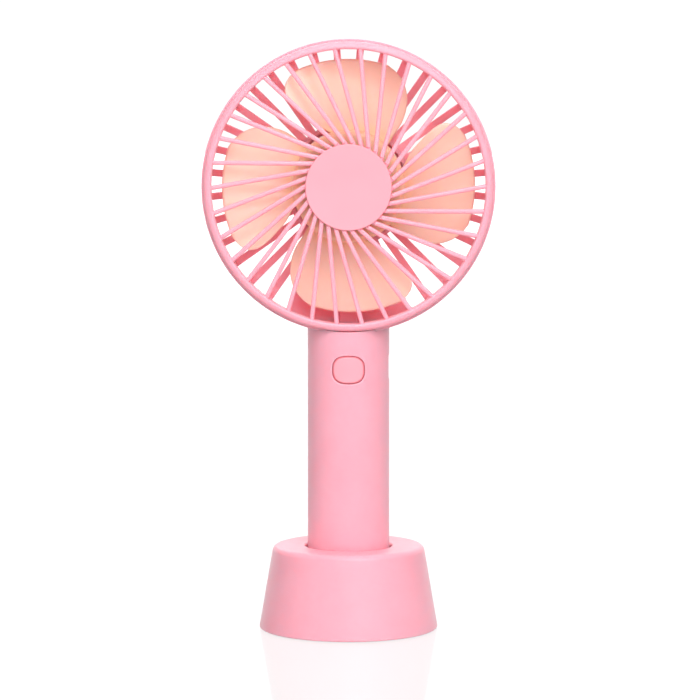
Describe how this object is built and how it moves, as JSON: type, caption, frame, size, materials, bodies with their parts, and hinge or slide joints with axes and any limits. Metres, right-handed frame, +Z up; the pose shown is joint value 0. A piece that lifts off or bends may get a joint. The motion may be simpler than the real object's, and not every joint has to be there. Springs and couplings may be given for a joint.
{
  "type": "handheld electric fan",
  "caption": "Battery handheld fan with a round swirl-ribbed grille on a plain tube handle, standing in the socket of a tapered round base.",
  "frame": {"origin": "on the ground under the middle of the round base", "axes": "+Z up along the handle, the fan blows towards -Y, +X is the side with the charging port"},
  "size_m": [0.1044, 0.0644, 0.2122],
  "materials": {
    "shell_plastic": "satin moulded pink ABS",
    "disc_plastic": "satin moulded pale pink ABS",
    "blade_plastic": "milky peach polypropylene",
    "foot_foam": "matt foamed rubber",
    "steel": "zinc plated",
    "nickel": "nickel plated spring strip",
    "bronze": "sintered bronze",
    "copper": "enamelled copper",
    "ferrite": "dull dark ferrite",
    "dark_plastic": "moulded black",
    "white_plastic": "moulded off-white",
    "board": "green solder mask",
    "cell_sleeve": "blue shrink sleeve",
    "lead_red": "red sleeving",
    "lead_black": "black sleeving"
  },
  "bodies": {
    "stand": {"base_shell": "shell_plastic", "base_bottom_plate": "shell_plastic", "foot_pad": "foot_foam", "base_screw_1": "steel", "base_screw_2": "steel", "base_screw_3": "steel"},
    "fan": {"rear_grille": "shell_plastic", "front_grille": "shell_plastic", "centre_disc": "disc_plastic", "motor_can": "steel", "motor_end_bell": "white_plastic", "motor_magnet_right": "ferrite", "motor_magnet_left": "ferrite", "motor_front_bush": "bronze", "motor_rear_bush": "bronze", "motor_brush_right": "copper", "motor_brush_left": "copper", "motor_screw_right": "steel", "motor_screw_left": "steel", "handle_front_shell": "shell_plastic", "handle_rear_shell": "shell_plastic", "shell_screw": "steel", "neck_screw": "steel", "circuit_board": "board", "switch_body": "dark_plastic", "charging_chip": "dark_plastic", "charge_light": "white_plastic", "charging_port_shell": "nickel", "charging_port_tongue": "dark_plastic", "battery_cell": "cell_sleeve", "battery_top_contact": "nickel", "battery_negative_strip": "nickel", "motor_lead_red": "lead_red", "motor_lead_black": "lead_black"},
    "rotor": {"impeller": "blade_plastic", "motor_shaft": "steel", "rotor_core": "steel", "rotor_coil_1": "copper", "rotor_coil_2": "copper", "rotor_coil_3": "copper", "commutator": "copper"},
    "button": {"power_button": "disc_plastic", "switch_plunger": "dark_plastic"},
    "end_cap": {"battery_cap": "shell_plastic", "spring_plate": "nickel", "battery_spring": "steel"}
  },
  "joints": [
    {"name": "fan_lift", "type": "slide", "parent": "stand", "child": "fan", "axis": [0, 0, 1], "range_m": [0, 0.03]},
    {"name": "impeller_spin", "type": "hinge", "parent": "fan", "child": "rotor", "pos_m": [0, 0, 0.16], "axis": [0, 1, 0], "continuous": true},
    {"name": "button_press", "type": "slide", "parent": "fan", "child": "button", "axis": [0, 1, 0], "range_m": [0, 0.0005], "stiffness_N_per_m": 1500, "springref_m": -0.0002},
    {"name": "battery_cap_twist", "type": "hinge", "parent": "fan", "child": "end_cap", "pos_m": [0, 0, 0.012], "axis": [0, 0, 1], "range_deg": [0, 45]}
  ]
}
